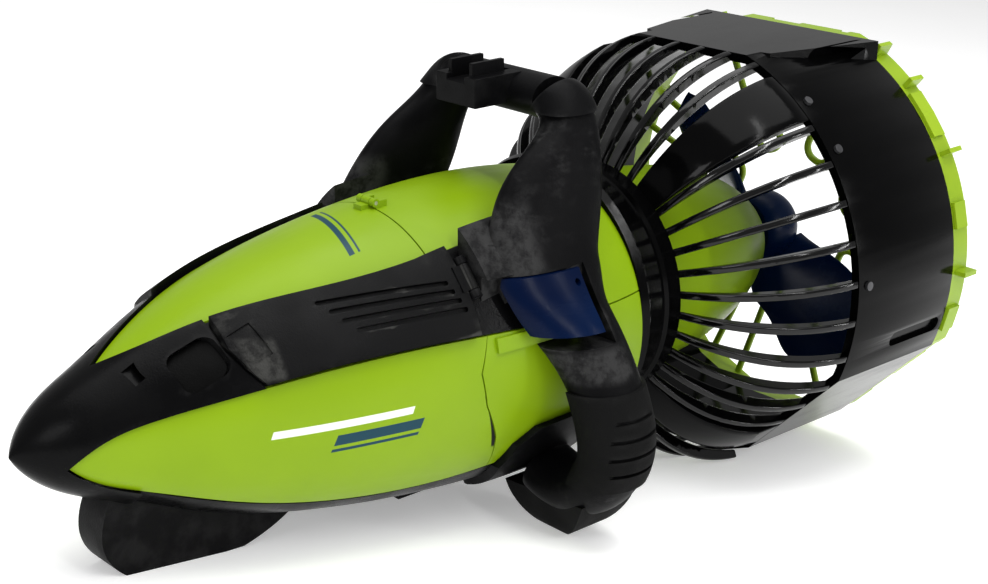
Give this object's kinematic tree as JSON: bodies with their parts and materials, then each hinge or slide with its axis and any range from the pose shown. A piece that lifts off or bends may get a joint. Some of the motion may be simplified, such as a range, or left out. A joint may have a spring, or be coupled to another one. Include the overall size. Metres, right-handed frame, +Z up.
{
  "type": "underwater scooter",
  "caption": "Torpedo-shaped diver scooter with a ducted rear propeller, caged intake, side grips with triggers and a crossbar camera seat.",
  "frame": {"origin": "on the floor under the middle of the object, as it rests on its nose foot, handle feet and duct", "axes": "+Y from the nose to the tail, +Z up, +X to port"},
  "size_m": [0.322, 0.6542, 0.3028],
  "materials": {
    "lime": "gloss moulded, light orange peel",
    "black_gloss": "gloss moulded",
    "black_satin": "fine grain, worn grey on edges",
    "black_rubber": "matte",
    "navy": "gloss moulded",
    "steel": "brushed",
    "motor_can": "turned",
    "inner_plastic": "plain",
    "copper": "plain"
  },
  "bodies": {
    "hull": {"ballast_bars": "steel", "battery": "inner_plastic", "battery_cradle": "inner_plastic", "battery_terminals": "copper", "bearing_carrier": "motor_can", "bulkhead": "inner_plastic", "cage_ribs_bottom": "black_gloss", "cage_ribs_left": "black_gloss", "cage_ribs_right": "black_gloss", "cage_ribs_top": "black_gloss", "cage_struts": "black_gloss", "camera_mount": "black_satin", "collar": "black_gloss", "crossbar": "black_satin", "crossbar_caps": "black_satin", "drain_plug": "black_satin", "gearbox": "motor_can", "grip_sleeves": "black_rubber", "handle_feet": "black_rubber", "handle_left": "black_satin", "handle_right": "black_satin", "hatch_pin": "steel", "hatch_seal": "black_rubber", "keel": "black_satin", "latch_lugs": "black_satin", "latch_pins": "steel", "lower_brackets": "black_satin", "motor": "motor_can", "motor_mount": "motor_can", "nose_foot": "black_satin", "nose_frame": "black_satin", "nose_insets": "black_gloss", "power_leads": "copper", "rail_brackets": "black_satin", "rear_guard": "lime", "rear_rim": "lime", "rear_side_panel_left": "lime", "rear_side_panel_right": "lime", "shaft_bearings": "steel", "shaft_seal": "black_rubber", "shroud": "black_gloss", "shroud_screws": "steel", "side_panel_left": "lime", "side_panel_right": "lime", "side_rails": "black_satin", "speed_controller": "inner_plastic", "tail_cone": "lime", "top_rear_cover": "lime", "trigger_pins": "steel", "trigger_springs": "steel", "trigger_switches": "inner_plastic"},
    "propeller_set": {"propeller": "navy", "prop_shaft": "steel", "prop_nut": "steel", "shaft_coupling": "motor_can"},
    "trigger_left": {"trigger_left": "navy"},
    "trigger_right": {"trigger_right": "navy"},
    "latch_lever_left": {"latch_lever_left": "black_satin"},
    "latch_lever_right": {"latch_lever_right": "black_satin"},
    "hatch": {"top_hatch": "lime"}
  },
  "joints": [
    {"name": "propeller_spin", "type": "hinge", "parent": "hull", "child": "propeller_set", "pos_m": [0, 0.27495, 0.15149], "axis": [0, 0.9936, 0.1132], "continuous": true},
    {"name": "hatch_hinge", "type": "hinge", "parent": "hull", "child": "hatch", "pos_m": [0, -0.09635, 0.19937], "axis": [-1, 0, 0], "range_deg": [0, 75]},
    {"name": "trigger_pull_left", "type": "hinge", "parent": "hull", "child": "trigger_left", "pos_m": [0.104, -0.01663, 0.16658], "axis": [1, 0, 0], "range_deg": [0, 8], "stiffness_Nm_per_rad": 0.3, "springref_deg": -6.88},
    {"name": "latch_swing_left", "type": "hinge", "parent": "hull", "child": "latch_lever_left", "pos_m": [0.074, -0.07876, 0.16866], "axis": [-0.6428, -0.0867, 0.7611], "range_deg": [0, 60]},
    {"name": "trigger_pull_right", "type": "hinge", "parent": "hull", "child": "trigger_right", "pos_m": [-0.104, -0.01663, 0.16658], "axis": [1, 0, 0], "range_deg": [0, 8], "stiffness_Nm_per_rad": 0.3, "springref_deg": -6.88},
    {"name": "latch_swing_right", "type": "hinge", "parent": "hull", "child": "latch_lever_right", "pos_m": [-0.074, -0.07876, 0.16866], "axis": [-0.6428, 0.0867, -0.7611], "range_deg": [0, 60]}
  ]
}
